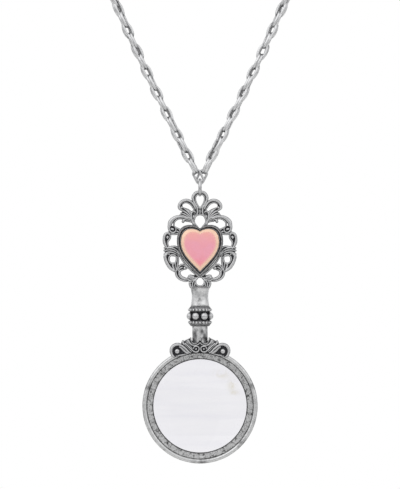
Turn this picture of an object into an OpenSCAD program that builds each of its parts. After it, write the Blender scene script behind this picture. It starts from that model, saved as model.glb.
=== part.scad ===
// Magnifier pendant on a long necklace chain.
// A round lens hangs from a short turned handle, under an openwork frame that holds a heart.
// The origin is the nape, in the middle of the clasp. The pendant hangs in front, at -Y.

/* [Chain] */
// Outside width of the chain
chain_w = 3.6; // [3:0.1:4]
// Wire of the two end links
link_wire = 0.9; // [0.7:0.05:1]
// Outside width of an end link
link_w = 3.6; // [3.4:0.1:4.2]
// Outside length of an end link
link_l = 6.4; // [5.6:0.1:8]
// Lean of each end link from the vertical, degrees
link_lean = 27; // [20:1:32]
// Length of the clasp's body at the nape
clasp_l = 9; // [7:0.5:14]
// Diameter of the clasp's body
clasp_d = 3.8; // [3.4:0.1:5]

/* [Jump ring] */
// Outside diameter of the jump ring
ring_od = 7; // [6.8:0.1:9]
// Wire of the jump ring
ring_wire = 1.3; // [1:0.05:1.4]

/* [Heart frame] */
// Width of the openwork frame
frame_w = 28.2; // [26:0.1:31]
// Height of the openwork frame, loop to foot
frame_h = 37.4; // [35:0.1:41]
// Depth of a plain rib, front to back
rib_d = 1.8; // [1.4:0.1:2.2]
// Depth of a leaf, front to back
leaf_d = 1.5; // [1.1:0.1:2]
// Width of the heart setting, outside
heart_w = 17.2; // [16:0.1:18]
// Height of the heart setting, lobe to point
heart_h = 19.6; // [18:0.1:20]
// Depth of the heart setting, front to back
setting_d = 3.6; // [3:0.1:4.5]
// Wall of the heart setting
setting_wall = 1.3; // [0.9:0.05:1.6]
// Floor under the stone
setting_floor = 0.8; // [0.6:0.1:1.2]

/* [Heart stone] */
// How far the table stands above the setting's edge
stone_rise = 0.7; // [0.3:0.1:1.2]
// Width of the bevel round the table
bevel_w = 1.1; // [0.8:0.1:1.6]

/* [Handle] */
// Diameter of the column at both ends
column_d = 7.1; // [6.6:0.1:8]
// Diameter of the column at its waist
waist_d = 6.3; // [6:0.1:6.5]
// Length of the column
column_l = 6.7; // [5:0.1:10]
// Diameter of the neck below the column
neck_d = 5.8; // [5:0.1:5.9]
// Length of the neck that shows under the collar
neck_l = 3.9; // [3:0.1:6]

/* [Collar] */
// Length of the beaded collar
collar_l = 7.7; // [7.2:0.1:9]
// Diameter of the collar between its beads
collar_d = 8.1; // [7.9:0.1:8.4]
// Diameter of a large bead
bead_d = 2.9; // [2.4:0.1:3]
// How many large beads go round
bead_n = 8; // [6:1:8]
// Diameter of a small bead
pearl_d = 1.1; // [0.9:0.05:1.2]
// How many small beads go round
pearl_n = 20; // [14:1:20]

/* [Crest] */
// Width of the crest on top of the rim
crest_w = 23; // [20:0.5:26]
// Height of the crest above the rim
crest_h = 4.5; // [3.8:0.1:5.5]
// Depth of the crest, front to back
crest_d = 6.2; // [5.8:0.1:6.6]
// Depth of the waves and beads raised on the crest
wave_d = 1.5; // [1.3:0.1:1.8]
// Depth of the scrolls and leaves raised on the crest
relief_d = 1.3; // [1.1:0.1:1.5]

/* [Rim and lens] */
// Outside diameter of the rim
rim_od = 44; // [40:0.5:50]
// Depth of the rim, front to back
rim_d = 4.2; // [3.8:0.1:4.6]
// Radial width of the rounded outer band
band_w = 1.7; // [1.4:0.1:2]
// Radial width of the flat hammered band
face_w = 2.2; // [1.8:0.1:2.8]
// Thickness of the lens at its edge
lens_edge = 1.6; // [1.2:0.1:2]
// Thickness of the lens in the middle
lens_mid = 5; // [4:0.1:6]

/* [Hidden] */
$fn = 64;

// Clearances
hang_gap = 0.15;
seat_gap = 0.05;
end_gap = 0.3;
link_gap = 0.2;

// Colours
silver = [0.62, 0.62, 0.64];
pink = [0.93, 0.66, 0.7];
clear = [0.9, 0.91, 0.94, 0.5];

// Route of the right half of the chain, from the chest up over the shoulder to the nape.
// Columns: X, Y, Z, in round millimetres from the nape.
ROUTE = [
    [17, -130, -171],
    [33, -130, -136],
    [46, -130, -105],
    [59, -128, -73],
    [73, -117, -43],
    [81, -93, -21],
    [79, -64, -10],
    [68, -36, -5],
    [46, -14, -2],
    [22, -3, 0]
];
chest = [0, -130, -205];
route_steps = 3;
tube_sides = 8;

// Stack of pieces, from the jump ring down
ring_r = (ring_od - ring_wire) / 2;
link_r = (link_w - link_wire) / 2;
eye_h = 1.4 * link_wire;
link_side = (link_wire + link_gap) / 2;
ring_z = chest[2] - sqrt(ring_r * ring_r - link_side * link_side);
pivot_z = ring_z - ring_r;
square_w = frame_w / 74;
square_h = frame_h / 98;
loop_top = 2.5;
frame_top = pivot_z + ring_wire / 2 + hang_gap + loop_top * square_h;
column_top = frame_top - frame_h - seat_gap;
collar_top = column_top - column_l - seat_gap;
collar_bottom = collar_top - collar_l;
crest_top = collar_bottom - neck_l;
rim_r = rim_od / 2;
rim_z = crest_top - crest_h - rim_r;
socket_depth = 0.75 * crest_h;
neck_bottom = crest_top - socket_depth + seat_gap;
crest_square = crest_w / 60;
socket_wall = 0.5;
crest_core_d = neck_d + 2 * socket_wall;

// Heart setting, with more of its depth in front of the frame's middle than behind it
heart_down = 35;
heart_top = frame_top - heart_down * square_h;
setting_front = -0.6 * setting_d;
setting_back = 0.4 * setting_d;
floor_y = setting_back - setting_floor;
girdle_drop = 0.15;
// How far an inset heart's point draws in, as a share of the inset at its lobes
point_share = 1.56;
heart_steps = 7;

// Collar
groove_depth = 0.35;
bead_sink = 0.1;
pearl_rise = 0.31 * collar_l;

// Half depth of the flat band at its inner and outer edge, as shares of the rim's depth
lip_share = 0.36;
face_share = 0.42;
// Lens seat in the rim
lip_r = rim_r - band_w - face_w;
lens_seat = 0.6;
lens_r = lip_r + lens_seat;
lens_dome = (lens_mid - lens_edge) / 2;
lens_ball = (lens_r * lens_r + lens_dome * lens_dome) / (2 * lens_dome);
// Half thickness of the lens where it enters the rim
lens_half = lens_mid / 2 - lens_ball + sqrt(lens_ball * lens_ball - lip_r * lip_r);

// Drawing of the openwork, on a grid of squares, 74 across and 98 down.
// Only the right half is drawn, and the left half is its mirror image.
// Scrolls. Columns: centre across, centre down, first and last radius, first and last angle,
// first and last width. An angle of 0 points right and 90 points up.
SCROLLS = [
    [0, 7.2, 6.2, 6.3, 96, -16, 3, 3.6],
    [-8.5, 6.6, 15, 15, -6, -58, 3.6, 2.8],
    [14.4, 16.5, 8.6, 6.2, 202, 88, 3, 3],
    [14.4, 16.5, 6.2, 5.9, 98, 0, 3, 2.6],
    [18.6, 16.9, 2.2, 1.4, 34, -170, 2.2, 1.6],
    [4.4, 23.4, 5, 4.6, 145, -48, 2.2, 2.6],
    [-4, 29, 11.5, 11.5, 18, -30, 2.6, 3],
    [-1, 29, 5.6, 7.6, 88, 2, 2.4, 2.4],
    [13.2, 36.5, 7, 7, 146, 45, 2.2, 2.6],
    [22.5, 33.5, 7.8, 7, 150, -32, 2.2, 5.4],
    [28.2, 38.3, 4.2, 5.4, 60, -190, 2, 2.2],
    [32.1, 46.9, 4.4, 2, -76, 250, 2.4, 1.6],
    [26.7, 50.5, 8.6, 8.8, 12, -86, 2.4, 2.8],
    [31.4, 70, 11, 10.6, 100, 212, 2.8, 2.4],
    [27, 69.6, 4, 4, -10, 190, 2, 2],
    [27, 69.6, 4, 4, 170, 370, 2, 2],
    [24.5, 68.5, 6.2, 8.4, 10, -104, 2.4, 2.6],
    [24.5, 68.5, 8.2, 11.2, 24, -98, 2.8, 2.8],
    [14.5, 80.3, 9, 9, 44, -116, 2.8, 3],
    [14.5, 80.3, 6.8, 6.8, 35, -112, 1.8, 2],
    [16.3, 77, 5.6, 2, -48, 250, 2.2, 1.6],
    [0, 92, 5.2, 4.6, 100, -95, 2.2, 2.2]
];
// Leaf fans. Columns: root across, root down, leaves, first and last angle,
// first and last length, width, depth as a share of a leaf's.
FANS = [
    [9.2, 29, 5, 86, 24, 9.6, 12, 3, 1],
    [8.5, 29.4, 1, 15, 15, 11, 11, 2.8, 1],
    [-0.5, 38.6, 1, 43, 43, 11.5, 11.5, 2.8, 1],
    [19, 43.4, 1, 32, 32, 7, 7, 3.6, 1],
    [18.6, 64, 2, 58, 26, 9, 9, 2.8, 1],
    [22, 66, 3, 27, -10, 13.6, 13.6, 3.2, 1],
    [0, 83.6, 1, -32, -32, 8, 8, 3.2, 1.2],
    [3.4, 88, 4, 18, -64, 9.4, 10.4, 3.2, 1.7]
];
// Buds. Columns: centre across, centre down, radius.
BUDS = [
    [19.2, 16.6, 1.3],
    [0, 21, 2.6],
    [6.4, 25.4, 1.6],
    [17.6, 31.2, 1.5],
    [28.4, 38.2, 2.2],
    [30.2, 43.6, 1.4],
    [32.2, 47, 1.4],
    [14.8, 76.8, 1.7]
];
// Ribs that cross, and leaves side by side, stand at different heights.
// Shares of a plain rib's or leaf's depth, taken in turn.
LAYERS = [1, 1.12, 0.92, 1.06, 0.96];
foot_squares = 2;
foot_taper = 0.7;
rib_sides = 6;
rib_turn = 32;
leaf_sides = 6;
bud_sides = 8;

// Drawing of the crest, in squares of which 60 make its width, up from the rim's top.
// The columns are those of the openwork, but for a height in place of a depth downwards.
// The waves pass in front of the neck, and the first one cuts the plate's open top.
CREST_WAVES = [
    [5.3, 9, 4.8, 5, 190, 368, 1.9, 1.9],
    [3.9, -0.2, 4.4, 2.2, -46, -380, 1.7, 1.5]
];
CREST_SCROLLS = [
    [23.4, -2.6, 6, 4.8, 150, -110, 2.8, 2.4]
];
CREST_LEAVES = [
    [6.8, 1, 1, 62, 62, 11, 11, 3.4, 1],
    [8, -2.5, 1, 52, 52, 12.4, 12.4, 2.6, 0.9],
    [8.6, -4.2, 1, 51, 51, 15.4, 15.4, 3.4, 1.1],
    [10.5, -5.5, 1, 37, 37, 13.5, 13.5, 4.4, 1]
];
CREST_BUDS = [
    [3.9, -0.2, 1.4],
    [23.4, -2.6, 2.5]
];
// Right half of the plate behind the relief, corners across and up
CREST_PLATE = [
    [0, 7.6], [3, 9.4], [10.2, 10], [11.6, 9], [12.8, 6.2], [16.6, 7.2], [17.4, 5.2],
    [18.4, 1.6], [22, 3.4], [26.6, 2.4], [28.8, -3], [26, -9.4], [12, -14], [0, -9]
];

// A point of the openwork's drawing, as X and Z
function drawn(u, v) = [square_w * u, frame_top - square_h * v];
// A point of the crest's drawing, as X and Z
function crested(u, v) = [crest_square * u, rim_z + rim_r + crest_square * v];

// Direction from one point to another, of length 1
function heading(a, b) = (b - a) / norm(b - a);
// Points of a scroll row, with its width: across, down, width
function scroll_points(row) =
    let (turn = row[5] - row[4], n = max(3, ceil(abs(turn) / rib_turn)))
    [for (i = [0 : n]) let (t = i / n, a = row[4] + turn * t, r = row[2] + (row[3] - row[2]) * t)
        [row[0] + r * cos(a), row[1] - r * sin(a), row[6] + (row[7] - row[6]) * t]];

// Smooth curve through four points, at share t between the two in the middle
function between(a, b, c, d, t) =
    b + t * ((c - a) / 2 + t * (a - 2.5 * b + 2 * c - d / 2 + t * (1.5 * (b - c) + (d - a) / 2)));
// Smooth curve through a list of points
function smooth(p, steps) =
    [for (i = [0 : len(p) - 2], k = [0 : steps - 1])
        between(p[max(i - 1, 0)], p[i], p[i + 1], p[min(i + 2, len(p) - 1)], k / steps),
     p[len(p) - 1]];

// Right half of a heart outline, from the cleft round the lobe to the point
function curve(p, n) =
    [for (i = [0 : n - 1]) let (t = i / n, s = 1 - t)
        s * s * s * p[0] + 3 * s * s * t * p[1] + 3 * s * t * t * p[2] + t * t * t * p[3]];
function half_heart(w, h, n) = concat(
    curve([[0, -0.07 * h], [0.1 * w, 0.012 * h], [0.5 * w, 0.09 * h], [0.5 * w, -0.31 * h]], n),
    curve([[0.5 * w, -0.31 * h], [0.5 * w, -0.59 * h], [0.23 * w, -0.79 * h], [0, -h]], n),
    [[0, -h]]);
// Whole heart outline, lobes at height 0, point at -h
function heart(w, h, n) =
    let (half = half_heart(w, h, n))
    concat(half, [for (i = [len(half) - 2 : -1 : 1]) [-half[i][0], half[i][1]]]);

// The setting's outline drawn in by a margin, with its cleft and its point drawn in more
function inset_heart(margin, n) =
    [for (p = heart(heart_w - 2 * margin, heart_h - (1 + point_share) * margin, n)) p - [0, margin]];

// Rings of points joined into one closed solid. Each ring turns right-handed about the way on.
module skin(rings) {
    m = len(rings[0]);
    last = len(rings) - 1;
    points = [for (ring = rings, p = ring) p];
    walls = [for (i = [0 : last - 1], k = [0 : m - 1], half = [0, 1])
        let (a = i * m + k, b = i * m + (k + 1) % m)
        half == 0 ? [a, a + m, b + m] : [a, b + m, b]];
    first_cap = [for (k = [0 : m - 1]) k];
    last_cap = [for (k = [m - 1 : -1 : 0]) last * m + k];
    polyhedron(points, concat(walls, [first_cap, last_cap]));
}

// Round tube along a route
module tube(path, d) {
    last = len(path) - 1;
    skin([for (i = [0 : last])
        let (t = heading(path[max(i - 1, 0)], path[min(i + 1, last)]),
             a = heading([0, 0, 0], cross(t, [0, 0.3, 1])), b = cross(t, a))
        [for (k = [0 : tube_sides - 1]) let (s = 360 * k / tube_sides)
            path[i] + d / 2 * (a * cos(s) + b * sin(s))]]);
}

// Ridged rib along flat points [x, z], each with its width; its depth eases with its width
module rib(path, widths, depth) {
    last = len(path) - 1;
    turn = 360 / rib_sides;
    skin([for (i = [0 : last])
        let (t = heading(path[max(i - 1, 0)], path[min(i + 1, last)]),
             d = depth * (0.7 + 0.3 * widths[i] / max(widths)))
        [for (k = [0 : rib_sides - 1])
            let (s = turn * (k + 0.5), w = widths[i] / 2 * cos(s) / cos(turn / 2))
            [path[i][0] + t[1] * w, d / 2 * sin(s), path[i][1] - t[0] * w]]]);
}

// Leaf, thick in the middle, from its root along an angle
module leaf(root, angle, length, width, depth) {
    translate([root[0], 0, root[1]])
        rotate([0, -angle, 0])
            scale([1, depth / width, 1])
                hull() {
                    sphere(d = 0.5 * width, $fn = leaf_sides);
                    translate([0.6 * length, 0, 0]) sphere(d = width, $fn = leaf_sides);
                    translate([length - 0.2 * width, 0, 0]) sphere(d = 0.4 * width, $fn = leaf_sides);
                }
}

// Fan of leaves
module fan(row, root, square) {
    for (i = [0 : row[2] - 1]) {
        t = row[2] > 1 ? i / (row[2] - 1) : 0;
        angle = row[3] + (row[4] - row[3]) * t;
        length = row[5] + (row[6] - row[5]) * t;
        leaf(root, angle, square * length, square * row[7], leaf_d * row[8] * LAYERS[i % len(LAYERS)]);
    }
}

// Oval link of round wire, one round end at the origin, the other towards +Z
module link() {
    run = link_l - link_w;
    for (side = [-1, 1])
        translate([side * link_r, 0, 0]) cylinder(d = link_wire, h = run);
    translate([0, 0, run]) rotate([90, 0, 0])
        rotate_extrude(angle = 180) translate([link_r, 0]) circle(d = link_wire, $fn = 24);
    rotate([-90, 0, 0])
        rotate_extrude(angle = 180) translate([link_r, 0]) circle(d = link_wire, $fn = 24);
}

// End link, hung on the jump ring; side is -1 for left and 1 for right
module end_link(side) {
    color(silver)
        translate([0, chest[1] + side * link_side, chest[2]])
            rotate([0, side * link_lean, 0])
                link();
}

// Half of the chain as one tube, from its end link up and back to the clasp
module chain(side) {
    reach = link_l - link_w / 2 + end_gap;
    start = chest + [reach * sin(link_lean), side * link_side, reach * cos(link_lean)];
    finish = [clasp_l / 2 + clasp_d + end_gap, 0, 0];
    color(silver)
        mirror([side < 0 ? 1 : 0, 0, 0])
            tube(smooth(concat([start], ROUTE, [finish]), route_steps), chain_w);
}

// Plain clasp, a bar with a flat eye at each end
module clasp() {
    color(silver)
        difference() {
            union() {
                translate([-clasp_l / 2, 0, 0]) rotate([0, 90, 0]) cylinder(d = clasp_d, h = clasp_l);
                for (side = [-1, 1])
                    translate([side * (clasp_l / 2 + clasp_d / 2), 0, -eye_h / 2]) {
                        cylinder(d = clasp_d, h = eye_h);
                        translate([side < 0 ? 0 : -clasp_d, -clasp_d / 2, 0]) cube([clasp_d, clasp_d, eye_h]);
                    }
            }
            for (side = [-1, 1])
                translate([side * (clasp_l / 2 + clasp_d / 2), 0, 0])
                    cylinder(d = 2 * link_wire, h = clasp_d, center = true);
        }
}

// Jump ring, edge-on from the front
module jump_ring() {
    color(silver)
        translate([0, chest[1], ring_z])
            rotate([0, 90, 0])
                rotate_extrude() translate([ring_r, 0]) circle(d = ring_wire, $fn = 32);
}

// One half of the openwork
module openwork() {
    for (i = [0 : len(SCROLLS) - 1]) {
        p = scroll_points(SCROLLS[i]);
        rib([for (q = p) drawn(q[0], q[1])], [for (q = p) square_w * q[2]],
            rib_d * LAYERS[i % len(LAYERS)]);
    }
    for (row = FANS)
        fan(row, drawn(row[0], row[1]), square_w);
    for (row = BUDS) {
        c = drawn(row[0], row[1]);
        translate([c[0], 0, c[1]])
            scale([1, 1.2 * rib_d / (2 * square_w * row[2]), 1])
                sphere(r = square_w * row[2], $fn = bud_sides);
    }
}

// Heart outline in the frame's plane, drawn in by a margin, standing from y = back to front
module heart_block(margin, back, front) {
    translate([0, back, heart_top])
        rotate([90, 0, 0])
            linear_extrude(back - front)
                polygon(inset_heart(margin, heart_steps));
}

// Openwork frame with its heart setting and its round foot
module heart_frame() {
    foot_h = foot_squares * square_h;
    cut = 4 * foot_h;
    color(silver)
        translate([0, chest[1], 0])
            difference() {
                union() {
                    openwork();
                    mirror([1, 0, 0]) openwork();
                    heart_block(0, setting_back, setting_front);
                    translate([0, 0, frame_top - frame_h])
                        cylinder(d1 = column_d, d2 = foot_taper * column_d, h = foot_h, $fn = 32);
                }
                heart_block(setting_wall, floor_y, setting_front - stone_rise);
                translate([0, 0, frame_top - frame_h - cut / 2])
                    cube([frame_w, frame_w, cut], center = true);
            }
}

// Heart stone with a flat table and a bevel of facets round it
module heart_stone() {
    margin = setting_wall + seat_gap;
    levels = [
        [margin + bevel_w, setting_front - stone_rise],
        [margin, setting_front + girdle_drop],
        [margin, floor_y - seat_gap]
    ];
    color(pink)
        translate([0, chest[1], heart_top])
            skin([for (l = levels) [for (p = inset_heart(l[0], heart_steps)) [p[0], l[1], p[1]]]]);
}

// Turned handle: a waisted column, and a neck that runs through the collar into the crest
module handle() {
    sag = (column_d - waist_d) / 2;
    waist_r = (column_l * column_l / 4 + sag * sag) / (2 * sag);
    color(silver)
        translate([0, chest[1], 0]) {
            translate([0, 0, column_top - column_l / 2])
                rotate_extrude()
                    difference() {
                        translate([0, -column_l / 2]) square([column_d / 2, column_l]);
                        translate([waist_d / 2 + waist_r, 0]) circle(r = waist_r, $fn = 180);
                    }
            translate([0, 0, neck_bottom])
                cylinder(d = neck_d, h = column_top - column_l - neck_bottom + sag);
        }
}

// Collar, a sleeve on the neck with one row of large beads between two rows of small ones
module collar() {
    mid = (collar_top + collar_bottom) / 2;
    bore_r = neck_d / 2 + 2 * seat_gap;
    groove_r = collar_d / 2 - groove_depth;
    color(silver)
        translate([0, chest[1], mid])
            difference() {
                union() {
                    rotate_extrude()
                        polygon([
                            [0, -collar_l / 2],
                            [column_d / 2, -collar_l / 2],
                            [collar_d / 2, -pearl_rise - 0.7 * pearl_d],
                            [collar_d / 2, -pearl_rise + pearl_d / 4],
                            [groove_r, -pearl_rise + pearl_d],
                            [groove_r, pearl_rise - pearl_d],
                            [collar_d / 2, pearl_rise - pearl_d / 4],
                            [collar_d / 2, pearl_rise + 0.7 * pearl_d],
                            [column_d / 2, collar_l / 2],
                            [0, collar_l / 2]
                        ]);
                    for (i = [0 : bead_n - 1])
                        rotate([0, 0, 360 * (i + 0.5) / bead_n - 90])
                            translate([collar_d / 2 - bead_sink, 0, 0]) sphere(d = bead_d, $fn = 48);
                    for (i = [0 : pearl_n - 1], side = [-1, 1])
                        rotate([0, 0, 360 * i / pearl_n])
                            translate([collar_d / 2, 0, side * pearl_rise]) sphere(d = pearl_d, $fn = 28);
                }
                cylinder(r = bore_r, h = 2 * collar_l, center = true);
            }
}

// Ribs of the crest that follow rows of its drawing
module crest_ribs(rows, depth) {
    for (row = rows) {
        p = scroll_points([row[0], -row[1], row[2], row[3], row[4], row[5], row[6], row[7]]);
        rib([for (q = p) crested(q[0], -q[1])], [for (q = p) crest_square * q[2]], depth);
    }
}

// Plate and socket wall of the crest, with an open top where the waves dip
module crest_ground() {
    dip = CREST_WAVES[0];
    difference() {
        union() {
            rotate([90, 0, 0])
                linear_extrude(crest_d, center = true)
                    for (side = [-1, 1])
                        polygon([for (p = CREST_PLATE) let (c = crested(p[0], p[1])) [side * c[0], c[1]]]);
            translate([0, 0, rim_z + rim_r - band_w])
                cylinder(d = crest_core_d, h = band_w + crest_square * (dip[1] - 1), $fn = 32);
        }
        for (side = [-1, 1])
            translate([side * crest_square * dip[0], 0, rim_z + rim_r + crest_square * dip[1]])
                rotate([90, 0, 0])
                    cylinder(r = crest_square * dip[2], h = 2 * crest_core_d, center = true, $fn = 20);
    }
}

// One half of the crest's relief, on one face of the plate
module crest_relief() {
    crest_ribs(CREST_WAVES, wave_d);
    crest_ribs(CREST_SCROLLS, relief_d);
    for (row = CREST_LEAVES)
        fan([row[0], row[1], row[2], row[3], row[4], row[5], row[6], row[7], row[8] * relief_d / leaf_d],
            crested(row[0], row[1]), crest_square);
    for (row = CREST_BUDS) {
        c = crested(row[0], row[1]);
        translate([c[0], 0, c[1]])
            scale([1, wave_d / (2 * crest_square * row[2]), 1])
                sphere(r = crest_square * row[2], $fn = bud_sides);
    }
}

// Crest, a cast ornament that sits astride the rim and takes the handle's neck
module crest() {
    color(silver)
        translate([0, chest[1], 0])
            difference() {
                union() {
                    crest_ground();
                    for (across = [0, 1], behind = [0, 1])
                        mirror([across, 0, 0])
                            mirror([0, behind, 0])
                                translate([0, -crest_d / 2, 0])
                                    crest_relief();
                }
                translate([0, 0, crest_top - socket_depth])
                    cylinder(d = neck_d + 4 * seat_gap, h = 2 * crest_h, $fn = 48);
                translate([0, 0, rim_z])
                    rotate([90, 0, 0])
                        cylinder(r = rim_r + 2 * seat_gap, h = rim_d + 4 * seat_gap, center = true, $fn = 160);
                translate([0, 0, rim_z])
                    rotate([90, 0, 0])
                        cylinder(r = rim_r - band_w, h = 4 * rim_d, center = true, $fn = 160);
            }
}

// Section of the rim: radius across, depth up
module rim_section() {
    round_r = band_w / 2;
    difference() {
        union() {
            for (side = [-1, 1])
                translate([rim_r - round_r, side * (rim_d / 2 - round_r)]) circle(r = round_r, $fn = 48);
            translate([rim_r - band_w, round_r - rim_d / 2]) square([band_w, rim_d - 2 * round_r]);
            polygon([
                [lip_r, -lip_share * rim_d],
                [rim_r - round_r, -face_share * rim_d],
                [rim_r - round_r, face_share * rim_d],
                [lip_r, lip_share * rim_d]
            ]);
        }
        polygon([
            [0, -lens_half - seat_gap],
            [lip_r, -lens_half - seat_gap],
            [lens_r + seat_gap, -lens_edge / 2 - seat_gap],
            [lens_r + seat_gap, lens_edge / 2 + seat_gap],
            [lip_r, lens_half + seat_gap],
            [0, lens_half + seat_gap]
        ]);
    }
}

// Rim round the lens
module rim() {
    color(silver)
        translate([0, chest[1], rim_z])
            rotate([90, 0, 0])
                rotate_extrude($fn = 160) rim_section();
}

// Magnifying lens, domed on both sides
module lens() {
    color(clear)
        translate([0, chest[1], rim_z])
            rotate([90, 0, 0])
                rotate_extrude($fn = 160)
                    intersection() {
                        translate([0, lens_mid / 2 - lens_ball]) circle(r = lens_ball, $fn = 720);
                        translate([0, lens_ball - lens_mid / 2]) circle(r = lens_ball, $fn = 720);
                        translate([0, -lens_mid]) square([lens_r, 2 * lens_mid]);
                    }
}

chain(-1);  // chain_left
chain(1);  // chain_right
clasp();
end_link(-1);  // end_link_left
end_link(1);  // end_link_right
jump_ring();
heart_frame();
heart_stone();
handle();
collar();
crest();
rim();
lens();
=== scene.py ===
# %% [markdown]
# # A magnifier pendant on a long double-link chain
# The real object is a silver-coloured necklace. Its pendant is a round magnifying lens in a hammered rim, hung under a
# cast crest, a beaded collar, a short column and an openwork frame that holds a pink heart stone.
# The sizes come from the CAD part. Blender gives the metal its rounded, worn and darkened surface, and the chain its
# links.

# %% Load the CAD part as a fixed frame
import math

import bpy
import numpy as np
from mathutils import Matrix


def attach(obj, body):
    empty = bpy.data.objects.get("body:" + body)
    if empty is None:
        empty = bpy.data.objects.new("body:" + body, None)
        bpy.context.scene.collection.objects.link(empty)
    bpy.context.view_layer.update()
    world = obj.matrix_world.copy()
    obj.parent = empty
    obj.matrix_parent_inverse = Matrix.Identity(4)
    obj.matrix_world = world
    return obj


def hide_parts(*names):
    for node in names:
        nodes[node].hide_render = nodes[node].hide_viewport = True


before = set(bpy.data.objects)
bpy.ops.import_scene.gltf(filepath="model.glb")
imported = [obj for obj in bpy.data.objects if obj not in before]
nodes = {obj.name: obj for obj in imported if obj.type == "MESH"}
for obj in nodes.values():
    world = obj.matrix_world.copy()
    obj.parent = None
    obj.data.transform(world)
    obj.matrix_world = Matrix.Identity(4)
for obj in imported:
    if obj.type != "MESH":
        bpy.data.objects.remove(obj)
scene = bpy.context.scene
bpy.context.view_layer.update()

# %% [markdown]
# ## Camera, studio and floor
# The photograph looks straight at the pendant with a long lens, on a pure white ground. A distant camera with a narrow
# angle gives the same calm picture. Polished silver shows what stands round it, so the studio matters more than the
# lamps: the camera sees plain white, and the metal sees a room that is brighter above and behind, and greyer in front.
# The chain hangs as if worn, so the floor lies well below the pendant and stays out of the photograph's view.

# %% The camera
MM = 0.001
LOOK_AT = (0.0, -0.130, -0.2296)
DISTANCE = 1.5
PHOTO_HEIGHT, MM_PER_PIXEL = 489, 0.382

camera = bpy.data.objects.new("camera", bpy.data.cameras.new("camera"))
scene.collection.objects.link(camera)
camera.location = (LOOK_AT[0], LOOK_AT[1] - DISTANCE, LOOK_AT[2])
camera.rotation_euler = (math.radians(90), 0, 0)
camera.data.sensor_width = 36
camera.data.lens = camera.data.sensor_width * DISTANCE / (PHOTO_HEIGHT * MM_PER_PIXEL * MM)
camera.data.clip_start, camera.data.clip_end = 0.01, 100
scene.camera = camera
scene.view_settings.view_transform = "Standard"
print("lens", round(camera.data.lens, 1), "mm")


# %% Helpers that add nodes
def put(tree, kind, inputs=None, **settings):
    """Adds a node, sets its properties, and fills inputs: {name or number: a value or another socket}."""
    made = tree.nodes.new(kind if kind.startswith("NodeGroup") else "ShaderNode" + kind)
    for key, value in settings.items():
        setattr(made, key, value)
    for key, value in (inputs or {}).items():
        if isinstance(value, bpy.types.NodeSocket):
            tree.links.new(value, made.inputs[key])
        else:
            made.inputs[key].default_value = value
    return made


def maths(tree, operation, *numbers):
    """One sum over numbers or sockets."""
    return put(tree, "Math", dict(enumerate(numbers)), operation=operation).outputs[0]


def fade(tree, value, low, high, start=0.0, end=1.0, kind="SMOOTHSTEP"):
    """Goes from start to end while the value goes from low to high. SMOOTHSTEP eases both ends, LINEAR doesn't."""
    return put(tree, "MapRange", {0: value, 1: low, 2: high, 3: start, 4: end}, interpolation_type=kind).outputs[0]


def between(tree, share, first, second):
    """A colour between two, by a share from 0 to 1."""
    return put(tree, "Mix", {0: share, 6: first, 7: second}, data_type="RGBA").outputs[2]


def noise(tree, place, scale, detail, distortion=0.0):
    """Soft clouds over a place, in finer and finer layers. The first output lies round 0.5."""
    return put(tree, "TexNoise", {0: place, "Scale": scale, "Detail": detail, "Distortion": distortion})


# %% The studio that the metal sees
world = bpy.data.worlds.new("studio")
scene.world = world
world.use_nodes = True
room = world.node_tree
room.nodes.clear()
toward = put(room, "TexCoord").outputs["Generated"]
axes = put(room, "SeparateXYZ", {0: toward})
behind = fade(room, axes.outputs[1], 0.7, 0.96)
above = fade(room, axes.outputs[2], -0.9, 0.9, 0.26, 0.86)
bands = noise(room, toward, 2.3, 1.0)
uneven = fade(room, bands.outputs[0], 0.38, 0.62, 0.72, 1.18, "LINEAR")
front = maths(room, "MULTIPLY", above, uneven)
level = put(room, "Mix", {0: behind, 2: front, 3: 1.0})
seen = put(room, "Background", {0: (1, 1, 1, 1), 1: 1.0})
mirrored = put(room, "Background", {0: (0.985, 0.99, 1, 1), 1: level.outputs[0]})
path = put(room, "LightPath")
chosen = put(room, "MixShader", {0: path.outputs["Is Camera Ray"], 1: mirrored.outputs[0], 2: seen.outputs[0]})
put(room, "OutputWorld", {0: chosen.outputs[0]})


# %% Two softboxes
def softbox(name, place, width, power):
    """A square area lamp at a place, turned towards the middle of the pendant."""
    lamp = bpy.data.objects.new(name, bpy.data.lights.new(name, "AREA"))
    lamp.data.size, lamp.data.energy = width, power
    scene.collection.objects.link(lamp)
    lamp.location = place
    aim = [LOOK_AT[k] - place[k] for k in range(3)]
    lamp.rotation_euler = (math.atan2(math.hypot(aim[0], aim[1]), -aim[2]), 0, math.atan2(-aim[0], aim[1]))
    print(name, "lamp", power, "W")


softbox("key", (-0.75, -0.95, 0.55), 1.5, 3.2)
softbox("fill", (0.9, -0.9, 0.15), 1.2, 1.2)


# %% The floor, and helpers for materials and circles
def material(name, fixed):
    """A material, its node tree and its shader. Fixed values are the same all over the surface."""
    made = bpy.data.materials.new(name)
    made.use_nodes = True
    shader = made.node_tree.nodes["Principled BSDF"]
    for title, value in fixed.items():
        shader.inputs[title].default_value = value
    return made, made.node_tree, shader


def turns(count):
    """Angles in equal steps, once round."""
    return 2 * np.pi * np.arange(count) / count


FLOOR_Z, FLOOR_RADIUS, FLOOR_SIDES = -0.5, 0.85, 96
turn = turns(FLOOR_SIDES)
disc = np.stack([FLOOR_RADIUS * np.cos(turn), FLOOR_RADIUS * np.sin(turn), np.full(FLOOR_SIDES, FLOOR_Z)], -1)
floor_mesh = bpy.data.meshes.new("floor")
floor_mesh.from_pydata(disc.tolist(), [], [list(range(FLOOR_SIDES))])
floor_mesh.materials.append(material("paper", {"Base Color": (0.8, 0.8, 0.79, 1), "Roughness": 0.9})[0])
floor = bpy.data.objects.new("floor", floor_mesh)
scene.collection.objects.link(floor)
print("floor", FLOOR_RADIUS, "m round, at", FLOOR_Z, "m")

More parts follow.
